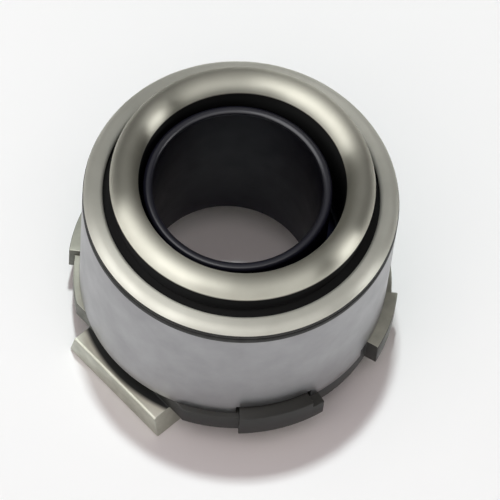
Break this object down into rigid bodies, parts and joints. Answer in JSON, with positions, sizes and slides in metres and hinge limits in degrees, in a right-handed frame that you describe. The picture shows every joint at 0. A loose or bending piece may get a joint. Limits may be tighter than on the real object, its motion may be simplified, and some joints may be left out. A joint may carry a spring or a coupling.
{
  "type": "clutch release bearing",
  "caption": "Ball bearing in a drawn steel shell whose round contact nose presses a clutch's spring fingers, on a fork hub with a guide sleeve that slips to centre itself.",
  "frame": {"origin": "on the bearing axis, in the plane of the fork ears' undersides that the part stands on", "axes": "+Z along the bearing axis towards the contact nose, +X from the axis to a fork ear"},
  "size_m": [0.064, 0.0658, 0.0513],
  "materials": {
    "plated_steel": "satin zinc plate",
    "drawn_steel": "satin, drawn and tumbled",
    "polished_steel": "ground and polished nose, dark flank",
    "bearing_steel": "ground and lapped",
    "spring_steel": "blued strip",
    "black_resin": "moulded, satin",
    "cage_resin": "moulded, natural",
    "seal_rubber": "moulded, matt"
  },
  "bodies": {
    "carrier": {"hub": "plated_steel", "shell": "drawn_steel", "thrust_washer": "spring_steel", "outer_ring": "bearing_steel", "front_seal": "seal_rubber", "rear_seal": "seal_rubber"},
    "spring_ring": {"wave_spring": "spring_steel"},
    "sleeve": {"guide_sleeve": "black_resin"},
    "contact_ring": {"inner_ring": "polished_steel"},
    "ball_set": {"cage": "cage_resin", "ball_01": "bearing_steel", "ball_02": "bearing_steel", "ball_03": "bearing_steel", "ball_04": "bearing_steel", "ball_05": "bearing_steel", "ball_06": "bearing_steel", "ball_07": "bearing_steel", "ball_08": "bearing_steel", "ball_09": "bearing_steel", "ball_10": "bearing_steel", "ball_11": "bearing_steel", "ball_12": "bearing_steel", "ball_13": "bearing_steel", "ball_14": "bearing_steel", "ball_15": "bearing_steel", "ball_16": "bearing_steel", "ball_17": "bearing_steel", "ball_18": "bearing_steel"}
  },
  "joints": [
    {"name": "sleeve_slip_x", "type": "slide", "parent": "carrier", "child": "spring_ring", "axis": [1, 0, 0], "range_m": [-0.0005, 0.0017]},
    {"name": "sleeve_slip_y", "type": "slide", "parent": "spring_ring", "child": "sleeve", "axis": [0, 1, 0], "range_m": [-0.0017, 0.0005]},
    {"name": "contact_spin", "type": "hinge", "parent": "carrier", "child": "contact_ring", "pos_m": [0, 0, 0.035], "axis": [0, 0, 1], "continuous": true},
    {"name": "cage_orbit", "type": "hinge", "parent": "carrier", "child": "ball_set", "pos_m": [0, 0, 0.035], "axis": [0, 0, 1], "continuous": true}
  ],
  "couplings": [
    {"joint": "cage_orbit", "follows": "contact_spin", "ratio": 0.43976}
  ]
}
